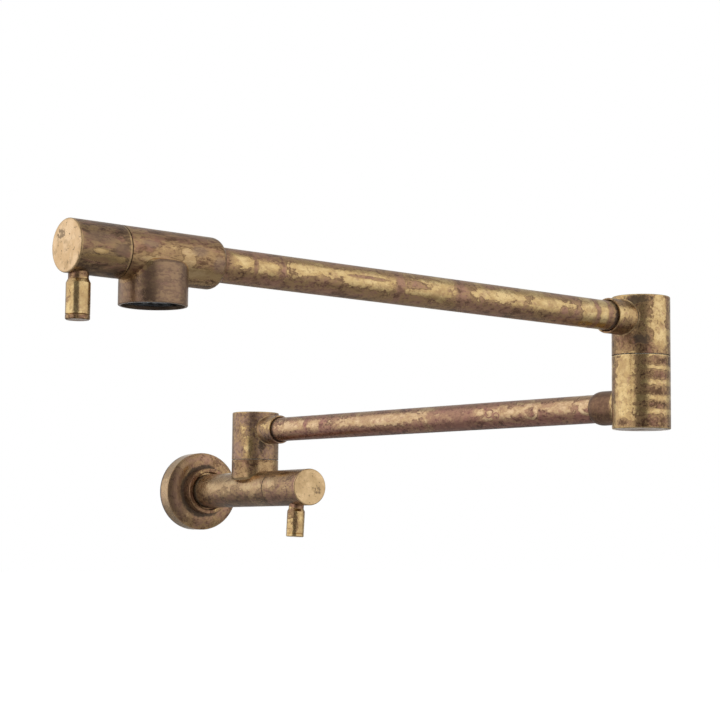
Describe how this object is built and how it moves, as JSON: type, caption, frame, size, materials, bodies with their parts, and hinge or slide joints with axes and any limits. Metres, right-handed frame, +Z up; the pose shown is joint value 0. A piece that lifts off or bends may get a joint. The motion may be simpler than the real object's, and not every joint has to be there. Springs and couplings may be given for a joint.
{
  "type": "wall mounted pot filler",
  "caption": "Folding wall tap for filling pots: wall valve with round flange, swinging jointed arms, spout valve with aerator and pin levers.",
  "frame": {"origin": "on the wall plane, on the axis of the wall valve's barrel and inlet", "axes": "+Z up, -Y straight out of the wall along the wall valve's barrel, +X to the right of a person who faces the wall"},
  "size_m": [0.3327, 0.4469, 0.116],
  "materials": {
    "aged_brass": "unlacquered brass with patches of golden and brown patina",
    "lever_brass": "unlacquered brass, darker patina",
    "inner_brass": "machined brass",
    "spring_steel": "stainless steel, fine satin",
    "sealing_rubber": "matt black rubber",
    "ceramic": "polished white ceramic",
    "bearing_plastic": "slippery white plastic",
    "grid_plastic": "dark grey moulded plastic"
  },
  "bodies": {
    "wall_valve": {"valve_body": "aged_brass", "wall_flange": "aged_brass", "flange_gasket": "sealing_rubber", "flange_collar": "aged_brass", "wall_seat_seal": "sealing_rubber", "wall_cartridge": "inner_brass", "wall_cartridge_seal": "sealing_rubber", "wall_fixed_disc": "ceramic", "wall_gland_nut": "inner_brass", "shoulder_spigot": "inner_brass", "shoulder_seals": "sealing_rubber", "shoulder_washer": "bearing_plastic", "shoulder_clip": "spring_steel", "shoulder_thrust_ring": "bearing_plastic"},
    "wall_valve_handle": {"wall_handle": "aged_brass", "wall_lever": "lever_brass", "wall_handle_screw": "spring_steel", "wall_stem": "inner_brass", "wall_stem_seals": "sealing_rubber", "wall_moving_disc": "ceramic"},
    "lower_arm": {"shoulder_hub": "aged_brass", "shoulder_cap": "aged_brass", "lower_arm_tube": "aged_brass", "elbow_column": "aged_brass", "elbow_plug": "aged_brass", "elbow_spigot": "inner_brass", "elbow_seals": "sealing_rubber", "elbow_washer": "bearing_plastic", "elbow_clip": "spring_steel", "elbow_thrust_ring": "bearing_plastic"},
    "upper_arm": {"elbow_hub": "aged_brass", "elbow_cap": "aged_brass", "upper_arm_tube": "aged_brass", "outlet_body": "aged_brass", "outlet_seat_seal": "sealing_rubber", "outlet_cartridge": "inner_brass", "outlet_cartridge_seal": "sealing_rubber", "outlet_fixed_disc": "ceramic", "outlet_gland_nut": "inner_brass", "aerator_shell": "inner_brass", "aerator_insert": "grid_plastic", "aerator_screen": "spring_steel", "aerator_washer": "sealing_rubber"},
    "outlet_valve_handle": {"outlet_handle": "aged_brass", "outlet_lever": "lever_brass", "outlet_handle_screw": "spring_steel", "outlet_stem": "inner_brass", "outlet_stem_seals": "sealing_rubber", "outlet_moving_disc": "ceramic"}
  },
  "joints": [
    {"name": "wall_valve_turn", "type": "hinge", "parent": "wall_valve", "child": "wall_valve_handle", "pos_m": [0, -0.0815, 0], "axis": [0, -1, 0], "range_deg": [0, 90]},
    {"name": "shoulder_swivel", "type": "hinge", "parent": "wall_valve", "child": "lower_arm", "pos_m": [0, -0.0815, 0], "axis": [0, 0, 1], "range_deg": [-99, 81]},
    {"name": "elbow_swivel", "type": "hinge", "parent": "lower_arm", "child": "upper_arm", "pos_m": [0.04771, -0.38274, 0.0765], "axis": [0, 0, 1], "continuous": true},
    {"name": "outlet_valve_turn", "type": "hinge", "parent": "upper_arm", "child": "outlet_valve_handle", "pos_m": [-0.23114, -0.43041, 0.0765], "axis": [-0.9857, -0.1685, 0], "range_deg": [0, 90]}
  ]
}
